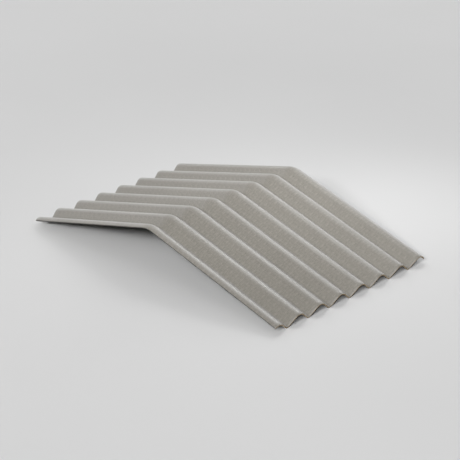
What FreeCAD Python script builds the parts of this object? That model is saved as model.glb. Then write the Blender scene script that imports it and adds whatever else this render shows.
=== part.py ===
# Corrugated fibre-cement ridge cap: one sheet, waved along the ridge and bent once across its waves.
# The wave section is drawn at the crown and carried along a path that climbs one wing, turns over
# the ridge on an arc and goes down the other wing.
# X runs along the ridge, Y across it and Z up. The origin is under the middle of the ridge, on the
# floor that both eaves stand on. Lengths are in millimetres and the slope is in degrees.
import FreeCAD, Part
import Sketcher
import math
import os

# Waves are measured on the weather side, which is the top of the sheet.
DRIVING_DIMENSIONS = {
    "wave_pitch": 146.5,  # crest to crest
    "wave_depth": 47.0,  # crest to valley
    "wave_count": 7,  # valleys across the sheet
    "crest_radius": 40.0,
    "valley_radius": 13.0,
    "sheet_thickness": 6.5,
    "underlap_drop": 8.4,  # the first crest is lower, so that the next cap lies over it
    "underlap_lip": 27.0,  # first crest to the sheet's edge
    "overlap_lip": 43.0,  # last crest to the sheet's edge
    "wing_length": 900.0,  # along a crest, from where the two wings' crest lines would meet
    "roof_slope": 15.0,
    "ridge_radius": 146.0,  # over the crests
}

# A sketch counts its own axes down from -1 and the points of a curve up from 1. The horizontal axis
# starts at the origin.
HORIZONTAL_AXIS = -1
VERTICAL_AXIS = HORIZONTAL_AXIS - 1
START, END, CENTRE = range(1, 4)

QUARTER_TURN = math.pi / 2
SKETCH_NORMAL = FreeCAD.Vector(0, 0, 1)
SLOPE = "(Sizes.roof_slope * 1 deg)"


def make_sheet(doc):
    """The spreadsheet that holds the driving dimensions."""
    sheet = doc.addObject("Spreadsheet::Sheet", "Sizes")
    for row, (alias, value) in enumerate(DRIVING_DIMENSIONS.items(), start=1):
        sheet.set(f"A{row}", alias)
        sheet.set(f"B{row}", str(value))
        sheet.setAlias(f"B{row}", alias)
    doc.recompute()
    return sheet


def start_sketch(body, name, role):
    """A sketch on one of the body's own base planes."""
    sketch = body.newObject("Sketcher::SketchObject", name)
    plane = next(feature for feature in body.Origin.OriginFeatures if feature.Role == role)
    sketch.AttachmentSupport = [(plane, "")]
    sketch.MapMode = "FlatFace"
    return sketch


def point(x, y):
    return FreeCAD.Vector(x, y, 0)


def line(sketch, start, end):
    return sketch.addGeometry(Part.LineSegment(start, end))


def arc(sketch, centre, radius, middle, half_angle):
    """An arc that spans half_angle to each side of the direction middle."""
    circle = Part.Circle(centre, SKETCH_NORMAL, radius)
    return sketch.addGeometry(Part.ArcOfCircle(circle, middle - half_angle, middle + half_angle))


def tie(sketch, name, expression, *constraint):
    """A dimension that follows the spreadsheet."""
    index = sketch.addConstraint(Sketcher.Constraint(*constraint))
    sketch.renameConstraint(index, name)
    sketch.setExpression(f"Constraints.{name}", expression)


def draw_path(body, sizes):
    """The line that a crest follows: up one wing, over the ridge on an arc and down the other wing."""
    path = start_sketch(body, "RidgePath", "YZ_Plane")
    slope = math.radians(sizes.roof_slope)
    radius = sizes.ridge_radius
    run = sizes.wing_length - radius * math.tan(slope)
    apex = sizes.wing_length * math.sin(slope)
    apex += (sizes.wave_depth + sizes.sheet_thickness) * math.cos(slope)
    arc_level = apex - radius / math.cos(slope)
    shoulder = point(radius * math.sin(slope), arc_level + radius * math.cos(slope))
    eave = shoulder + point(run * math.cos(slope), -run * math.sin(slope))

    front_wing = line(path, point(-eave.x, eave.y), point(-shoulder.x, shoulder.y))
    ridge = arc(path, point(0, arc_level), radius, QUARTER_TURN, slope)
    back_wing = line(path, shoulder, eave)
    path.addConstraint(
        [
            Sketcher.Constraint("Tangent", front_wing, END, ridge, END),
            Sketcher.Constraint("Tangent", ridge, START, back_wing, START),
            Sketcher.Constraint("PointOnObject", ridge, CENTRE, VERTICAL_AXIS),
            Sketcher.Constraint("Symmetric", front_wing, START, back_wing, END, VERTICAL_AXIS),
        ]
    )
    run_rule = f"Sizes.wing_length - Sizes.ridge_radius * tan{SLOPE}"
    # The lowest edge of a cut eave, which is under a valley, stands on the floor.
    level_rule = (
        f"Sizes.wing_length * sin{SLOPE} + (Sizes.wave_depth + Sizes.sheet_thickness) * cos{SLOPE}"
        f" - Sizes.ridge_radius / cos{SLOPE}"
    )
    tie(path, "slope", SLOPE, "Angle", front_wing, slope)
    tie(path, "run", run_rule, "Distance", front_wing, run)
    tie(path, "ridge_radius", "Sizes.ridge_radius", "Radius", ridge, radius)
    tie(path, "arc_level", level_rule, "DistanceY", HORIZONTAL_AXIS, START, ridge, CENTRE, arc_level)
    return path


def draw_surface(sketch, crests, valleys, crest_radius, valley_radius, flank):
    """One side of the sheet, from its first crest to its last: arcs joined by straight flanks.

    Returns the crest arcs, the valley arcs and the flanks that fall from a crest to a valley.
    """
    crest_arcs = [arc(sketch, centre, crest_radius, QUARTER_TURN, flank) for centre in crests]
    valley_arcs = [arc(sketch, centre, valley_radius, -QUARTER_TURN, flank) for centre in valleys]
    to_right = point(math.sin(flank), math.cos(flank))
    to_left = point(-math.sin(flank), math.cos(flank))
    falls = []
    for index, (valley, valley_arc) in enumerate(zip(valleys, valley_arcs)):
        left, right = crests[index : index + 2]
        left_arc, right_arc = crest_arcs[index : index + 2]
        fall = line(sketch, left + to_right * crest_radius, valley - to_right * valley_radius)
        rise = line(sketch, valley - to_left * valley_radius, right + to_left * crest_radius)
        sketch.addConstraint(
            [
                Sketcher.Constraint("Tangent", left_arc, START, fall, START),
                Sketcher.Constraint("Tangent", fall, END, valley_arc, START),
                Sketcher.Constraint("Tangent", valley_arc, END, rise, START),
                Sketcher.Constraint("Tangent", rise, END, right_arc, END),
            ]
        )
        falls.append(fall)
    return crest_arcs, valley_arcs, falls


def draw_section(body, path, sizes):
    """The waved sheet at the crown, cut square at its two side edges."""
    section = start_sketch(body, "WaveSection", "XZ_Plane")
    pitch = sizes.wave_pitch
    count = int(sizes.wave_count)
    thickness = sizes.sheet_thickness
    radii = sizes.crest_radius + sizes.valley_radius

    # A flank touches a crest from above and the next valley from below.
    crown = path.getDatum("arc_level").Value + sizes.ridge_radius
    crest_level = crown - sizes.crest_radius
    valley_level = crown - sizes.wave_depth + sizes.valley_radius
    fall = crest_level - valley_level
    flank = math.atan2(fall, pitch / 2) + math.asin(radii / math.hypot(fall, pitch / 2))

    # The underlap crest is lower on a flank of the same slope, so it is also closer to its valley.
    underlap_level = crest_level - sizes.underlap_drop
    underlap_reach = (radii + (underlap_level - valley_level) * math.cos(flank)) / math.sin(flank)

    crests = [point((index - count / 2) * pitch, crest_level) for index in range(count + 1)]
    valleys = [point(crest.x - pitch / 2, valley_level) for crest in crests[1:]]
    crests[0] = point(valleys[0].x - underlap_reach, underlap_level)

    inner_crest = sizes.crest_radius - thickness
    outer_valley = sizes.valley_radius + thickness
    top = draw_surface(section, crests, valleys, sizes.crest_radius, sizes.valley_radius, flank)
    under = draw_surface(section, crests, valleys, inner_crest, outer_valley, flank)
    place_waves(section, top, under, sizes, crest_level, valley_level)
    cut_edges(section, top, under, crests, sizes, flank)
    return section


def place_waves(section, top, under, sizes, crest_level, valley_level):
    """Sets the radii, the pitch and the levels of the waves, and the sheet's thickness."""
    crest_arcs, valley_arcs, falls = top
    under_crests, under_valleys, _ = under
    rules = [Sketcher.Constraint("Parallel", falls[0], falls[-1])]
    for arcs, under_arcs in ((crest_arcs, under_crests), (valley_arcs, under_valleys)):
        for outer, inner in zip(arcs, under_arcs):
            rules.append(Sketcher.Constraint("Coincident", outer, CENTRE, inner, CENTRE))
        for same_size in (arcs, under_arcs):
            rules += [Sketcher.Constraint("Equal", same_size[-1], other) for other in same_size[:-1]]
    for level_arcs in (crest_arcs[1:], valley_arcs):
        for other in level_arcs[:-1]:
            rules.append(Sketcher.Constraint("Horizontal", level_arcs[-1], CENTRE, other, CENTRE))
    section.addConstraint(rules)

    last_crest = crest_arcs[-1]
    last_valley = valley_arcs[-1]
    thickness = sizes.sheet_thickness
    inner_crest = sizes.crest_radius - thickness
    outer_valley = sizes.valley_radius + thickness
    inner_rule = "Sizes.crest_radius - Sizes.sheet_thickness"
    outer_rule = "Sizes.valley_radius + Sizes.sheet_thickness"
    tie(section, "crest_radius", "Sizes.crest_radius", "Radius", last_crest, sizes.crest_radius)
    tie(section, "valley_radius", "Sizes.valley_radius", "Radius", last_valley, sizes.valley_radius)
    tie(section, "inner_crest_radius", inner_rule, "Radius", under_crests[-1], inner_crest)
    tie(section, "outer_valley_radius", outer_rule, "Radius", under_valleys[-1], outer_valley)

    crown_rule = "RidgePath.Constraints.arc_level + RidgePath.Constraints.ridge_radius"
    crest_rule = f"{crown_rule} - Sizes.crest_radius * 1 mm"
    valley_rule = f"{crown_rule} - (Sizes.wave_depth - Sizes.valley_radius) * 1 mm"
    from_floor = "DistanceY", HORIZONTAL_AXIS, START
    tie(section, "crest_level", crest_rule, *from_floor, last_crest, CENTRE, crest_level)
    tie(section, "valley_level", valley_rule, *from_floor, last_valley, CENTRE, valley_level)
    drop = "DistanceY", crest_arcs[0], CENTRE, last_crest, CENTRE, sizes.underlap_drop
    tie(section, "underlap_drop", "Sizes.underlap_drop", *drop)

    pitch = sizes.wave_pitch
    for index, (left, right) in enumerate(zip(crest_arcs[1:], crest_arcs[2:])):
        whole = "DistanceX", left, CENTRE, right, CENTRE, pitch
        tie(section, f"pitch_{index}", "Sizes.wave_pitch", *whole)
    for index, (left, right) in enumerate(zip(valley_arcs, crest_arcs[1:])):
        half = "DistanceX", left, CENTRE, right, CENTRE, pitch / 2
        tie(section, f"half_pitch_{index}", "Sizes.wave_pitch / 2", *half)


def cut_edges(section, top, under, crests, sizes, flank):
    """Ends the sheet past its first and last crests, square to its surface, and centres it."""
    crest_arcs, _, falls = top
    under_crests = under[0]
    thickness = sizes.sheet_thickness

    # The overlap edge: the last crest runs on down a straight lip.
    to_right = point(math.sin(flank), math.cos(flank))
    down_lip = point(math.cos(flank), -math.sin(flank))
    lip_length = (sizes.overlap_lip - sizes.crest_radius * math.sin(flank)) / math.cos(flank)
    lip_start = crests[-1] + to_right * sizes.crest_radius
    lip_end = lip_start + down_lip * lip_length
    lip = line(section, lip_start, lip_end)
    under_lip = line(section, lip_start - to_right * thickness, lip_end - to_right * thickness)
    overlap_edge = line(section, lip_end, lip_end - to_right * thickness)

    # The underlap edge: the first crest stops on its own arc.
    to_left = point(-math.sin(flank), math.cos(flank))
    arc_end = crests[0] + to_left * sizes.crest_radius
    underlap_edge = line(section, arc_end, arc_end - to_left * thickness)

    middle = section.addGeometry(Part.Point((arc_end + lip_end) / 2), True)
    section.addConstraint(
        [
            Sketcher.Constraint("Tangent", crest_arcs[-1], START, lip, START),
            Sketcher.Constraint("Tangent", under_crests[-1], START, under_lip, START),
            Sketcher.Constraint("Parallel", lip, falls[-1]),
            Sketcher.Constraint("Parallel", lip, under_lip),
            Sketcher.Constraint("Perpendicular", lip, END, overlap_edge, START),
            Sketcher.Constraint("Coincident", overlap_edge, END, under_lip, END),
            Sketcher.Constraint("Perpendicular", crest_arcs[0], END, underlap_edge, START),
            Sketcher.Constraint("Coincident", underlap_edge, END, under_crests[0], END),
            Sketcher.Constraint("Symmetric", crest_arcs[0], END, lip, END, middle, START),
            Sketcher.Constraint("PointOnObject", middle, START, VERTICAL_AXIS),
        ]
    )
    underlap = "DistanceX", crest_arcs[0], END, crest_arcs[0], CENTRE, sizes.underlap_lip
    overlap = "DistanceX", crest_arcs[-1], CENTRE, lip, END, sizes.overlap_lip
    tie(section, "underlap_lip", "Sizes.underlap_lip", *underlap)
    tie(section, "overlap_lip", "Sizes.overlap_lip", *overlap)


def check(doc, body):
    """Stops before anything is written if a feature failed."""
    for item in doc.Objects:
        if "Invalid" in item.State or "Error" in item.State:
            raise RuntimeError(f"{item.Name}: {item.State}")
    if body.Shape.isNull() or not body.Shape.isValid():
        raise RuntimeError(f"{body.Label}: no valid shape")


doc = FreeCAD.newDocument("RidgeCap")
sizes = make_sheet(doc)
body = doc.addObject("PartDesign::Body", "RidgeCapBody")
body.Label = "ridge_cap"
path = draw_path(body, sizes)
doc.recompute()
section = draw_section(body, path, sizes)
doc.recompute()

bent_sheet = body.newObject("PartDesign::AdditivePipe", "BentSheet")
bent_sheet.Profile = section
bent_sheet.Spine = path
body.Tip = bent_sheet
body.Placement = FreeCAD.Placement()
doc.recompute()
check(doc, body)

os.makedirs("parts", exist_ok=True)
body.Shape.exportStep(f"parts/{body.Label}.step")
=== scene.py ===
import math

import bmesh
import bpy
import numpy as np
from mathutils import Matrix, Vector


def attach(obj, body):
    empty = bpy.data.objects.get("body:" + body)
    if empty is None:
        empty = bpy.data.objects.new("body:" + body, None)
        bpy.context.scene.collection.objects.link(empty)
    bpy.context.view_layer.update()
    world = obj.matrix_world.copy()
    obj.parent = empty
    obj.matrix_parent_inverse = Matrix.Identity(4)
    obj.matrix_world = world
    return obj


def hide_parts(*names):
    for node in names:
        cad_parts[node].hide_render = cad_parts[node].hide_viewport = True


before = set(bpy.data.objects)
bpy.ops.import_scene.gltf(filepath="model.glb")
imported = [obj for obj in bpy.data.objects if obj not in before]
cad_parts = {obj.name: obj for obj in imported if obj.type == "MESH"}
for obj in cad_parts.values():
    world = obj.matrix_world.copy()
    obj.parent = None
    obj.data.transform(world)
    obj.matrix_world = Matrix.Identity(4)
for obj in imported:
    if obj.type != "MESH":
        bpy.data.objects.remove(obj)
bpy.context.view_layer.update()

# The sheet's sizes are those of the CAD model, in metres and radians. X runs along the ridge, Y
# across it and Z up, and waves are measured on the weather side.
WAVE_PITCH = 0.1465
WAVE_DEPTH = 0.047
VALLEYS = 7
CREST_RADIUS = 0.040
VALLEY_RADIUS = 0.013
THICKNESS = 0.0065
UNDERLAP_DROP = 0.0084
UNDERLAP_LIP = 0.027
OVERLAP_LIP = 0.043
WING_LENGTH = 0.900
SLOPE = math.radians(15)
RIDGE_RADIUS = 0.146

# How finely the sheet is divided.
CREST_STEPS = 16
VALLEY_STEPS = 8
FLANK_STEPS = 6
LIP_STEPS = 2
BEND_STEPS = 5
WING_STEPS = 48

# The ridge turns about an axis that lies level under the crown.
APEX = WING_LENGTH * math.sin(SLOPE) + (WAVE_DEPTH + THICKNESS) * math.cos(SLOPE)
RIDGE_AXIS = Vector((0, 0, APEX - RIDGE_RADIUS / math.cos(SLOPE)))
WING_RUN = WING_LENGTH - RIDGE_RADIUS * math.tan(SLOPE)
DOWN_WING = Vector((0, math.cos(SLOPE), -math.sin(SLOPE)))

# From the ridge line to an eave, along the sheet.
EAVE_PATH = RIDGE_RADIUS * SLOPE + WING_RUN

# A flank touches the crest above it and the valley below it.
HALF_PITCH = WAVE_PITCH / 2
CREST_LEVEL = RIDGE_AXIS.z + RIDGE_RADIUS - CREST_RADIUS
VALLEY_LEVEL = RIDGE_AXIS.z + RIDGE_RADIUS - WAVE_DEPTH + VALLEY_RADIUS
RADII = CREST_RADIUS + VALLEY_RADIUS
FALL = CREST_LEVEL - VALLEY_LEVEL
FLANK = math.atan2(FALL, HALF_PITCH) + math.asin(RADII / math.hypot(FALL, HALF_PITCH))
FLANK_RUN = (HALF_PITCH - RADII * math.sin(FLANK)) / math.cos(FLANK)
UP_FLANK = Vector((math.cos(FLANK), 0, math.sin(FLANK)))
DOWN_FLANK = Vector((math.cos(FLANK), 0, -math.sin(FLANK)))

# The underlap crest is lower and closer to its valley, and the sheet ends on its arc.
UNDERLAP_RUN = FLANK_RUN - UNDERLAP_DROP / math.sin(FLANK)
UNDERLAP_REACH = RADII * math.sin(FLANK) + UNDERLAP_RUN * math.cos(FLANK)
UNDERLAP_TURN = math.asin(UNDERLAP_LIP / CREST_RADIUS)
LIP_RUN = (OVERLAP_LIP - CREST_RADIUS * math.sin(FLANK)) / math.cos(FLANK)

# The sheet is centred on the middle of the ridge.
CREST_SPAN = (VALLEYS - 0.5) * WAVE_PITCH + UNDERLAP_REACH
LAST_CREST = (CREST_SPAN + UNDERLAP_LIP - OVERLAP_LIP) / 2
FIRST_CREST = LAST_CREST - CREST_SPAN
CREST_CENTRES = [Vector((FIRST_CREST, 0, CREST_LEVEL - UNDERLAP_DROP))]
VALLEY_CENTRES = []
for wave in range(VALLEYS):
    crest_x = LAST_CREST - (VALLEYS - 1 - wave) * WAVE_PITCH
    CREST_CENTRES.append(Vector((crest_x, 0, CREST_LEVEL)))
    VALLEY_CENTRES.append(Vector((crest_x - HALF_PITCH, 0, VALLEY_LEVEL)))

# The arrises are slightly ragged and worn round, and the pressing is slightly uneven.
ARRIS = 0.0008
ARRIS_STEPS = 2
ARRIS_ANGLE = math.radians(50)
RAGGED_EDGE = 0.0004
RAGGED_SEED = 4
UNEVENNESS = 0.0003
UNEVEN_SCALE = 0.35

# Points this close are one, and faces that meet under this angle are shaded as one.
TOUCHING = 0.000005
SMOOTH_ANGLE = math.radians(35)

# What the sheet's mesh tells its finishes: its map as if rolled out flat, how deep a point lies
# from the weather side to the underside, and how high it lies from valley to crest.
SHEET_MAP = "developed_sheet"
DEPTH = "sheet_depth"
LEVEL = "wave_level"

# The print of the press felt repeats along and across the flat sheet. Blots, strokes and fibres
# are given by their width and length.
FELT_REPEAT = WAVE_PITCH / 4
FELT_WANDER = 0.003
FELT_WANDER_SCALE = 16.0
FELT_SEAM = 0.002
FELT_BLOT = (0.0075, 0.0075)
FELT_STROKE = (0.016, 0.0042)
STRAY_BLOT = (0.008, 0.008)
THREAD_WIDTH = 0.0024
THREAD_LENGTH = 0.03
FIBRE = (0.0011, 0.012)

# Tones of cement, as places on a ramp with linear colours. The cut side edges are painted nearly
# black as painted shade, and the eaves are brown.
WEATHER_TONES = (
    (0.2, (0.093, 0.085, 0.070)),
    (0.46, (0.181, 0.168, 0.143)),
    (0.72, (0.270, 0.252, 0.217)),
)
# The underside is painted darker, partly as painted shade under the sheet.
UNDERSIDE_SHADED_TONES = (
    (0.15, (0.088, 0.083, 0.073)),
    (0.5, (0.125, 0.119, 0.106)),
    (0.85, (0.172, 0.165, 0.149)),
)
SIDE_EDGE_SHADE_TONES = (
    (0.15, (0.018, 0.015, 0.012)),
    (0.5, (0.032, 0.028, 0.023)),
    (0.85, (0.055, 0.049, 0.041)),
)
EAVE_EDGE_TONES = (
    (0.15, (0.15, 0.108, 0.062)),
    (0.5, (0.27, 0.205, 0.127)),
    (0.85, (0.38, 0.305, 0.208)),
)
PALE_FIBRE = (0.36, 0.345, 0.31, 1)
DIRT_AND_SHADE = (0.12, 0.108, 0.086, 1)
PAINTED_EDGE_SHADE = (0.012, 0.010, 0.008, 1)

# Pale fibres show only at the peaks of their pattern.
FIBRE_PEAK = 0.86
FIBRE_SHARE = 0.3
# Rain leaves dirt in the valleys, up to this level. Each wing is painted darker towards its eave as
# painted shade, from this far off the ridge.
VALLEY_DIRT = 0.04
VALLEY_DIRT_TOP = 0.3
EAVE_SHADE = 0.23
EAVE_SHADE_START = 0.2 * EAVE_PATH
# A narrow strip of the weather side is painted nearly black as painted shade, like the side edge
# beside it.
EDGE_SHADE_SHARE = 0.92
EDGE_SHADE_STRIP = 0.0008
# The brown of the eaves fades out between one and two margins before them.
EAVE_MARGIN = 0.004
# The saw cut shows layers through the thickness.
SAWN_LAYERS = 9.0

# Roughness where a finish's relief is low and where it is high, and the depth of the relief.
LOW_RELIEF = 0.2
HIGH_RELIEF = 0.8
WEATHER_ROUGHNESS = (0.46, 0.41)
UNDERSIDE_ROUGHNESS = (0.85, 0.7)
SAWN_ROUGHNESS = (0.8, 0.95)
WEATHER_RELIEF = 0.0001
UNDERSIDE_RELIEF = 0.0008
SAWN_RELIEF = 0.0006

# Most of a noise texture lies between these values, about its middle.
NOISE_LOW = 0.25
NOISE_HIGH = 0.75
NOISE_MIDDLE = (0.5, 0.5, 0.5)

# The mix node's colour sockets share their names with others, so they go by their places.
FIRST_COLOUR = 6
SECOND_COLOUR = 7
MIXED_COLOUR = 2

# The floor lies just under the ragged eaves, and its grey varies between two close tones.
FLOOR_SIZE = 60.0
FLOOR_LEVEL = -0.0006
FLOOR_GREY = (0.745, 0.765)
FLOOR_MOTTLE = 0.6
# Centre, reach in metres and change of each lighter or darker part of the floor: the darker middle
# evens out the lamps, and the lighter patch at the right is a painted pool of light.
FLOOR_TONES_AND_LIGHT_POOL = (
    ((0.5, 0.3), 4.0, -0.11),
    ((1.1, -0.4), 1.1, 0.045),
)

# Bearing from the ridge line, height and width of each far lamp in degrees, and its power.
FAR_LAMPS = (
    ("left_front_lamp", 200, 29.3, 10, 1.35),
    ("front_lamp", 219, 29.3, 7.5, 1.2),
    ("front_fill", 205, 36, 22, 0.92),
    ("front_right_fill", 240, 50, 30, 0.36),
    ("left_lamp", 100, 28, 36, 0.22),
    ("back_left_lamp", 67, 24, 12, 0.17),
    ("back_right_lamp", 27, 20, 20, 0.34),
    ("back_right_fill", 27, 40, 24, 0.31),
)
LAMP_DISTANCE = 6
# Place, width in metres and power of each softbox.
SOFTBOXES = (
    ("high_softbox", (0.0, 0.3, 2.2), 2.0, 9.2),
    ("low_softbox", (0.75, -0.1, 1.5), 0.9, 6.2),
)
SOFTBOX_TARGET = Vector((0, 0, 0.1))
SURROUND = 0.01

# The lens and the sensor are in millimetres.
CAMERA_PLACE = Vector((-5.6541, -5.6511, 3.7103))
CAMERA_TARGET = Vector((0.0161, -0.0161, 0.0804))
CAMERA_LENS = 134.52
CAMERA_REACH = 200
SENSOR = 36.0


def take_up(piece):
    """Selects a piece and nothing else."""
    bpy.ops.object.select_all(action="DESELECT")
    piece.select_set(True)
    bpy.context.view_layer.objects.active = piece


def start_edit(piece, select_by):
    take_up(piece)
    bpy.ops.object.mode_set(mode="EDIT")
    bpy.ops.mesh.select_mode(type=select_by)


def end_edit():
    bpy.ops.object.mode_set(mode="OBJECT")


def pick(piece, kind, test):
    """Selects the vertices, edges or faces that pass a test, and nothing else."""
    bpy.ops.mesh.select_all(action="DESELECT")
    mesh = bmesh.from_edit_mesh(piece.data)
    for part in getattr(mesh, kind):
        if test(part):
            part.select_set(True)
    mesh.select_flush_mode()
    bmesh.update_edit_mesh(piece.data)


def apply_modifier(piece, modifier):
    take_up(piece)
    bpy.ops.object.modifier_apply(modifier=modifier.name)


def start_at_underlap_edge():
    """A small plane across the thickness at the crown, cut down to the sheet's side edge."""
    outward = Vector((-math.sin(UNDERLAP_TURN), 0, math.cos(UNDERLAP_TURN)))
    along = Vector((math.cos(UNDERLAP_TURN), 0, math.sin(UNDERLAP_TURN)))
    edge = CREST_CENTRES[0] + outward * (CREST_RADIUS - THICKNESS / 2)
    bpy.ops.object.select_all(action="DESELECT")
    bpy.ops.mesh.primitive_plane_add(
        size=THICKNESS,
        location=edge + along * THICKNESS / 2,
        rotation=(math.pi / 2, -UNDERLAP_TURN, 0),
    )
    piece = bpy.context.object
    piece.name = piece.data.name = "ridge_cap_sheet"
    bpy.ops.object.transform_apply(location=True, rotation=True, scale=True)

    start_edit(piece, "VERT")
    pick(piece, "verts", lambda corner: (corner.co - edge).dot(along) > THICKNESS / 2)
    bpy.ops.mesh.delete(type="VERT")
    mesh = bmesh.from_edit_mesh(piece.data)
    depth = mesh.verts.layers.float.new(DEPTH)
    for corner in mesh.verts:
        corner[depth] = 0.0 if (corner.co - edge).dot(outward) > 0 else 1.0
    bmesh.update_edit_mesh(piece.data)
    bpy.ops.mesh.select_all(action="SELECT")
    return piece


def turn_over(centre, angle, steps):
    """Carries the selected edge round a crest, or round a valley if the angle is negative."""
    bpy.ops.mesh.spin(steps=steps, angle=-angle, center=centre, axis=(0, 1, 0))


def run_along(direction, length, steps):
    """Carries what is selected straight on, in even steps."""
    for _ in range(steps):
        bpy.ops.mesh.extrude_region_move(
            TRANSFORM_OT_translate={"value": direction * (length / steps)}
        )


def draw_waves():
    """The wave section at the crown, from the underlap edge to the overlap edge."""
    turn_over(CREST_CENTRES[0], UNDERLAP_TURN + FLANK, CREST_STEPS)
    for wave, valley in enumerate(VALLEY_CENTRES):
        run_along(DOWN_FLANK, FLANK_RUN if wave else UNDERLAP_RUN, FLANK_STEPS)
        turn_over(valley, -2 * FLANK, VALLEY_STEPS)
        run_along(UP_FLANK, FLANK_RUN, FLANK_STEPS)
        turn_over(CREST_CENTRES[wave + 1], 2 * FLANK, CREST_STEPS)
    run_along(DOWN_FLANK, LIP_RUN, LIP_STEPS)


def measure_section(piece):
    """Where each line across the thickness lies along X, and how far along the flattened sheet."""
    mesh = bmesh.from_edit_mesh(piece.data)
    middles = []
    for edge in mesh.edges:
        if abs(edge.calc_length() - THICKNESS) < TOUCHING:
            middle = (edge.verts[0].co + edge.verts[1].co) / 2
            middles.append((middle.x, middle.z))
    middles = np.array(sorted(middles))
    steps = np.hypot(*np.diff(middles, axis=0).T)
    return middles[:, 0], np.concatenate([[0], np.cumsum(steps)])


def bend_over_ridge(piece):
    """Carries the section over half of the ridge and down the back wing, then mirrors it."""
    bpy.ops.mesh.select_all(action="SELECT")
    bpy.ops.mesh.spin(steps=BEND_STEPS, angle=SLOPE, center=RIDGE_AXIS, axis=(1, 0, 0))
    run_along(DOWN_WING, WING_RUN, WING_STEPS)
    bpy.ops.mesh.select_mode(type="FACE")
    pick(piece, "faces", lambda face: all(abs(corner.co.y) < TOUCHING for corner in face.verts))
    bpy.ops.mesh.delete(type="FACE")
    end_edit()
    mirror = piece.modifiers.new("Front wing", "MIRROR")
    mirror.use_axis = (False, True, False)
    mirror.merge_threshold = TOUCHING
    apply_modifier(piece, mirror)
    start_edit(piece, "VERT")
    bpy.ops.mesh.select_all(action="SELECT")
    bpy.ops.mesh.remove_doubles(threshold=TOUCHING)
    bpy.ops.mesh.normals_make_consistent(inside=False)
    end_edit()


def face_sides(piece, weather_side, underside, sawn_edge):
    """Gives each side of the sheet its own finish."""
    for finish in (weather_side, underside, sawn_edge):
        piece.data.materials.append(finish)
    start_edit(piece, "FACE")
    mesh = bmesh.from_edit_mesh(piece.data)
    depth = mesh.verts.layers.float[DEPTH]
    for slot, wanted in enumerate(({0.0}, {1.0}, {0.0, 1.0})):
        pick(piece, "faces", lambda face: {corner[depth] for corner in face.verts} == wanted)
        piece.active_material_index = slot
        bpy.ops.object.material_slot_assign()
    end_edit()


def finish_edges(piece):
    """Makes the arrises slightly ragged and takes the sharpness off them."""
    start_edit(piece, "EDGE")
    pick(piece, "edges", lambda edge: edge.calc_face_angle() > ARRIS_ANGLE)
    bpy.ops.transform.vertex_random(offset=RAGGED_EDGE, seed=RAGGED_SEED, wait_for_input=False)
    bpy.ops.mesh.bevel(offset=ARRIS, segments=ARRIS_STEPS, affect="EDGES", clamp_overlap=True)
    end_edit()


def press_uneven(piece):
    """The slight unevenness of a sheet that was pressed by hand on its mould."""
    lumps = bpy.data.textures.new("sheet_unevenness", "CLOUDS")
    lumps.noise_scale = UNEVEN_SCALE
    press = piece.modifiers.new("Pressed uneven", "DISPLACE")
    press.texture = lumps
    press.texture_coords = "LOCAL"
    press.strength = UNEVENNESS
    apply_modifier(piece, press)


def lay_flat(piece, section_x, section_run):
    """Gives the sheet a map in metres, as if it were rolled out flat, and the level of its waves."""
    mesh = piece.data
    places = np.empty(len(mesh.vertices) * 3, np.float32)
    mesh.vertices.foreach_get("co", places)
    x, y, z = places.reshape(-1, 3).astype(float).T
    z = z - RIDGE_AXIS.z
    beyond_bend = np.abs(y) * math.cos(SLOPE) - z * math.sin(SLOPE)
    on_wing = beyond_bend > 0
    wing_path = np.sign(y) * (RIDGE_RADIUS * SLOPE + beyond_bend)
    path = np.where(on_wing, wing_path, RIDGE_RADIUS * np.arctan2(y, z))
    height = np.where(on_wing, np.abs(y) * math.sin(SLOPE) + z * math.cos(SLOPE), np.hypot(y, z))
    across = np.interp(x, section_x, section_run)

    corners = np.empty(len(mesh.loops), np.int32)
    mesh.loops.foreach_get("vertex_index", corners)
    flat = np.stack([across, path], 1)[corners]
    while mesh.uv_layers:
        mesh.uv_layers.remove(mesh.uv_layers[0])
    layer = mesh.uv_layers.new(name=SHEET_MAP)
    layer.uv.foreach_set("vector", flat.astype(np.float32).ravel())
    level = mesh.attributes.new(LEVEL, "FLOAT", "POINT")
    share = 1 - (RIDGE_RADIUS - height) / WAVE_DEPTH
    level.data.foreach_set("value", share.astype(np.float32))


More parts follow.
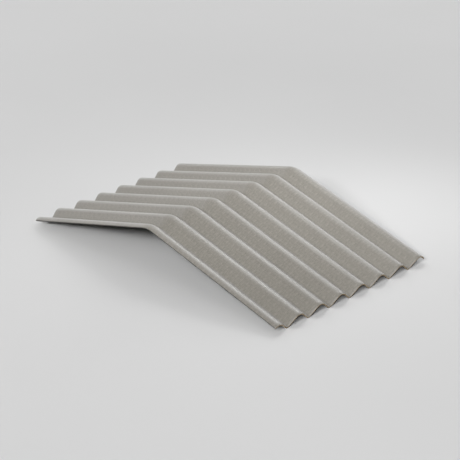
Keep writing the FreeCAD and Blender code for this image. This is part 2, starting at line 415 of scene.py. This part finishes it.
class Finish:
    """A procedural material and the nodes that make it."""

    def __init__(self, name):
        self.material = bpy.data.materials.new(name)
        self.material.use_nodes = True
        self.tree = self.material.node_tree

    def fill(self, node, inputs):
        """Sets a node's inputs to values, or links them to other nodes' outputs."""
        for name, value in inputs.items():
            if isinstance(value, bpy.types.NodeSocket):
                self.tree.links.new(value, node.inputs[name])
            else:
                node.inputs[name].default_value = value

    def node(self, kind, inputs, **settings):
        """Adds a node, whose inputs are given by their names or places."""
        made = self.tree.nodes.new(kind)
        for name, value in settings.items():
            setattr(made, name, value)
        self.fill(made, inputs)
        return made

    def shade(self, inputs):
        """Gives the shader its colour, gloss and relief, and returns the material."""
        self.fill(self.tree.nodes["Principled BSDF"], inputs)
        return self.material

    def flat_sheet(self):
        return self.node("ShaderNodeUVMap", {}, uv_map=SHEET_MAP).outputs["UV"]

    def in_space(self):
        return self.node("ShaderNodeTexCoord", {}).outputs["Object"]

    def share(self, attribute):
        return self.node("ShaderNodeAttribute", {}, attribute_name=attribute).outputs["Fac"]

    def maths(self, first, second, operation):
        made = self.node("ShaderNodeMath", {0: first, 1: second}, operation=operation)
        return made.outputs["Value"]

    def vector_maths(self, first, second, operation):
        made = self.node("ShaderNodeVectorMath", {0: first, 1: second}, operation=operation)
        return made.outputs["Value" if operation == "DISTANCE" else "Vector"]

    def split(self, flat):
        """The two ways on the flat sheet: across the waves, and from the ridge to an eave."""
        ways = self.node("ShaderNodeSeparateXYZ", {"Vector": flat}).outputs
        return ways["X"], ways["Y"]

    def wandering(self, place, scale, reach):
        """Coordinates that stray by up to this reach, as hand-laid cloth does."""
        noise = self.node("ShaderNodeTexNoise", {"Vector": place, "Scale": scale, "Detail": 1.0})
        stray = self.vector_maths(noise.outputs["Color"], NOISE_MIDDLE, "SUBTRACT")
        stray = self.vector_maths(stray, (2 * reach, 2 * reach, 0), "MULTIPLY")
        return self.vector_maths(place, stray, "ADD")

    def stretched(self, flat, size, start):
        """Coordinates in which a pattern's features have this size, and where the pattern starts."""
        inputs = {"Vector": flat, "Scale": (1 / size[0], 1 / size[1], 1), "Location": (*start, 0)}
        return self.node("ShaderNodeMapping", inputs).outputs["Vector"]

    def noise(self, place, scale=1.0, detail=2.0, roughness=0.5):
        """Noise spread evenly from about 0 to 1."""
        texture = self.node(
            "ShaderNodeTexNoise",
            {"Vector": place, "Scale": scale, "Detail": detail, "Roughness": roughness},
        )
        return self.spread(texture.outputs["Fac"], NOISE_LOW, NOISE_HIGH)

    def spread(self, value, low, high, to_low=0.0, to_high=1.0, easing="LINEAR"):
        """Carries the range from low to high over to another range, and holds it there."""
        made = self.node(
            "ShaderNodeMapRange",
            {"Value": value, "From Min": low, "From Max": high, "To Min": to_low, "To Max": to_high},
            interpolation_type=easing,
        )
        return made.outputs["Result"]

    def weighted(self, *parts):
        """The sum of patterns, each times its weight."""
        total = None
        for pattern, weight in parts:
            part = self.maths(pattern, weight, "MULTIPLY")
            total = part if total is None else self.maths(total, part, "ADD")
        return total

    def ramp(self, value, tones):
        made = self.node("ShaderNodeValToRGB", {"Fac": value})
        points = made.color_ramp.elements
        for place, _ in tones[1:-1]:
            points.new(place)
        for point, (place, colour) in zip(points, tones):
            point.position = place
            point.color = (*colour, 1)
        return made.outputs["Color"]

    def mix(self, share, first, second):
        made = self.node(
            "ShaderNodeMix",
            {"Factor": share, FIRST_COLOUR: first, SECOND_COLOUR: second},
            data_type="RGBA",
        )
        return made.outputs[MIXED_COLOUR]

    def bump(self, height, depth):
        return self.node("ShaderNodeBump", {"Height": height, "Distance": depth}).outputs["Normal"]


def felt_imprint(finish, flat):
    """The print of the press felt: blots and seams that repeat, and threads that don't."""
    strayed = finish.wandering(flat, FELT_WANDER_SCALE, FELT_WANDER)
    repeat = finish.vector_maths(strayed, (FELT_REPEAT, FELT_REPEAT, 1), "MODULO")
    printed = finish.noise(finish.stretched(repeat, FELT_BLOT, (6, 3)), detail=3.0)
    strokes = finish.noise(finish.stretched(repeat, FELT_STROKE, (9, 5)), detail=1.0)
    stray_blots = finish.noise(finish.stretched(flat, STRAY_BLOT, (4, 2)), detail=3.0)
    blots = finish.weighted((printed, 0.32), (strokes, 0.4), (stray_blots, 0.28))

    seams = []
    for way in finish.split(strayed):
        from_seam = finish.maths(way, FELT_REPEAT / 2, "PINGPONG")
        seams.append(finish.spread(from_seam, 0.0, FELT_SEAM, 1.0, 0.0))
    seam = finish.weighted((seams[0], 0.4), (seams[1], 1.0))

    lengthwise = finish.stretched(flat, (THREAD_WIDTH, THREAD_LENGTH), (5, 1))
    crosswise = finish.stretched(flat, (THREAD_LENGTH, THREAD_WIDTH), (2, 9))
    threads = finish.weighted(
        (finish.noise(lengthwise, detail=1.0), 0.4), (finish.noise(crosswise, detail=1.0), 0.6)
    )
    return blots, seam, threads


def make_weather_side(flat_width):
    finish = Finish("fibre_cement_weather_side")
    flat = finish.flat_sheet()
    place = finish.in_space()
    blots, seam, threads = felt_imprint(finish, flat)
    clouds = finish.noise(place, scale=3.5, detail=3.0)
    grain = finish.noise(place, scale=650.0, roughness=0.7)
    tone = finish.weighted(
        (blots, 0.48), (threads, 0.22), (clouds, 0.07), (grain, 0.13), (seam, 0.17)
    )
    cement = finish.ramp(tone, WEATHER_TONES)
    valley_dirt = finish.spread(finish.share(LEVEL), 0.0, VALLEY_DIRT_TOP, VALLEY_DIRT, 0.0)
    cement = finish.mix(valley_dirt, cement, DIRT_AND_SHADE)
    fibres = finish.noise(finish.stretched(flat, FIBRE, (11, 4)), detail=0.0)
    pale_fibres = finish.spread(fibres, FIBRE_PEAK, 1.0, 0.0, FIBRE_SHARE)
    cement = finish.mix(pale_fibres, cement, PALE_FIBRE)

    across, path = finish.split(flat)
    # Each wing is painted darker towards its eave, as painted shade.
    from_ridge = finish.maths(path, 0.0, "ABSOLUTE")
    eave_shade = finish.spread(from_ridge, EAVE_SHADE_START, EAVE_PATH, 0.0, EAVE_SHADE)
    cement = finish.mix(eave_shade, cement, DIRT_AND_SHADE)
    # A narrow strip along the side edges is painted nearly black, as painted shade.
    from_side = finish.maths(across, flat_width / 2, "PINGPONG")
    from_side = finish.weighted((from_side, 1.0), (grain, 0.4 * EDGE_SHADE_STRIP))
    painted_edge_strip = finish.spread(from_side, 0.6 * EDGE_SHADE_STRIP, 1.3 * EDGE_SHADE_STRIP, EDGE_SHADE_SHARE, 0.0)
    cement = finish.mix(painted_edge_strip, cement, PAINTED_EDGE_SHADE)

    relief = finish.weighted((blots, 0.45), (threads, 0.3), (grain, 0.15), (seam, 0.1))
    return finish.shade({
        "Base Color": cement,
        "Roughness": finish.spread(relief, LOW_RELIEF, HIGH_RELIEF, *WEATHER_ROUGHNESS),
        "Normal": finish.bump(relief, WEATHER_RELIEF),
        "Specular IOR Level": 0.95,
        "Sheen Weight": 0.44,
        "Sheen Roughness": 0.6,
    })


def make_underside():
    finish = Finish("fibre_cement_underside")
    place = finish.in_space()
    blots, seam, threads = felt_imprint(finish, finish.flat_sheet())
    clouds = finish.noise(place, scale=5.0, detail=3.0)
    blotches = finish.noise(place, scale=30.0, detail=4.0, roughness=0.65)
    grain = finish.noise(place, scale=500.0, roughness=0.7)
    tone = finish.weighted(
        (blots, 0.2), (threads, 0.1), (clouds, 0.25), (blotches, 0.25), (grain, 0.2)
    )
    relief = finish.weighted((blotches, 0.35), (threads, 0.2), (seam, 0.1), (grain, 0.35))
    # The underside's colour is darker partly as painted shade.
    return finish.shade({
        "Base Color": finish.ramp(tone, UNDERSIDE_SHADED_TONES),
        "Roughness": finish.spread(relief, LOW_RELIEF, HIGH_RELIEF, *UNDERSIDE_ROUGHNESS),
        "Normal": finish.bump(relief, UNDERSIDE_RELIEF),
    })


def make_sawn_edge():
    """Layers of cement through the thickness, painted nearly black along the sides as painted shade,
    and brown at the eaves.
    """
    finish = Finish("fibre_cement_sawn_edge")
    place = finish.in_space()
    through = finish.maths(finish.share(DEPTH), SAWN_LAYERS, "MULTIPLY")
    layers = finish.noise(through, detail=1.0)
    grain = finish.noise(place, scale=700.0, detail=3.0, roughness=0.7)
    blotches = finish.noise(place, scale=45.0, detail=3.0)
    tone = finish.weighted((layers, 0.4), (grain, 0.3), (blotches, 0.3))
    # The side edges are painted nearly black, as painted shade; the eaves keep their brown.
    painted_side_edge = finish.ramp(tone, SIDE_EDGE_SHADE_TONES)
    eave_cement = finish.ramp(tone, EAVE_EDGE_TONES)

    _, path = finish.split(finish.flat_sheet())
    from_ridge = finish.maths(path, 0.0, "ABSOLUTE")
    at_eave = finish.spread(from_ridge, EAVE_PATH - 2 * EAVE_MARGIN, EAVE_PATH - EAVE_MARGIN)
    relief = finish.weighted((layers, 0.4), (grain, 0.6))
    return finish.shade({
        "Base Color": finish.mix(at_eave, painted_side_edge, eave_cement),
        "Roughness": finish.spread(grain, 0.0, 1.0, *SAWN_ROUGHNESS),
        "Normal": finish.bump(relief, SAWN_RELIEF),
    })


def make_sheet():
    piece = start_at_underlap_edge()
    draw_waves()
    section_x, section_run = measure_section(piece)
    bend_over_ridge(piece)
    face_sides(piece, make_weather_side(section_run[-1]), make_underside(), make_sawn_edge())
    finish_edges(piece)
    press_uneven(piece)
    lay_flat(piece, section_x, section_run)
    bpy.ops.object.shade_smooth_by_angle(angle=SMOOTH_ANGLE)
    return piece


def make_floor():
    bpy.ops.object.select_all(action="DESELECT")
    bpy.ops.mesh.primitive_plane_add(size=FLOOR_SIZE, location=(0, 0, FLOOR_LEVEL))
    floor = bpy.context.object
    floor.name = "studio_floor"
    paint = Finish("studio_floor_grey")
    place = paint.in_space()
    tone = paint.spread(paint.noise(place, scale=FLOOR_MOTTLE), 0.0, 1.0, *FLOOR_GREY)
    # The lighter part of the floor at the right is a painted pool of light.
    for centre, reach, change in FLOOR_TONES_AND_LIGHT_POOL:
        away = paint.vector_maths(place, (*centre, 0), "DISTANCE")
        part = paint.spread(away, 0.0, reach, change, 0.0, easing="SMOOTHERSTEP")
        tone = paint.maths(tone, part, "ADD")
    grey = paint.shade({"Base Color": tone, "Roughness": 0.9, "Specular IOR Level": 0.1})
    floor.data.materials.append(grey)


def aim(thing, target):
    thing.rotation_euler = (target - thing.location).to_track_quat("-Z", "Y").to_euler()


def add_lamp(name, kind, place, target, power):
    bpy.ops.object.select_all(action="DESELECT")
    bpy.ops.object.light_add(type=kind, location=place)
    lamp = bpy.context.object
    lamp.name = lamp.data.name = name
    lamp.data.energy = power
    lamp.visible_camera = False
    aim(lamp, target)
    return lamp.data


def make_lights():
    """Broad far lamps that light the floor evenly, and softboxes over and beside the sheet."""
    world = bpy.context.scene.world or bpy.data.worlds.new("Studio")
    bpy.context.scene.world = world
    world.use_nodes = True
    surround = world.node_tree.nodes["Background"]
    surround.inputs["Color"].default_value = (1, 1, 1, 1)
    surround.inputs["Strength"].default_value = SURROUND
    for name, bearing, height, width, power in FAR_LAMPS:
        bearing = math.radians(bearing)
        height = math.radians(height)
        level = math.cos(height)
        place = Vector((level * math.cos(bearing), level * math.sin(bearing), math.sin(height)))
        lamp = add_lamp(name, "SUN", place * LAMP_DISTANCE, Vector(), power)
        lamp.angle = math.radians(width)
    for name, place, size, power in SOFTBOXES:
        lamp = add_lamp(name, "AREA", place, SOFTBOX_TARGET, power)
        lamp.shape = "SQUARE"
        lamp.size = size


def make_camera():
    bpy.ops.object.camera_add(location=CAMERA_PLACE)
    camera = bpy.context.object
    camera.data.sensor_width = SENSOR
    camera.data.lens = CAMERA_LENS
    camera.data.clip_end = CAMERA_REACH
    aim(camera, CAMERA_TARGET)
    bpy.context.scene.camera = camera
    bpy.context.scene.view_settings.view_transform = "Standard"


sheet = make_sheet()
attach(sheet, "root")
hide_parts("ridge_cap")
make_floor()
make_lights()
make_camera()
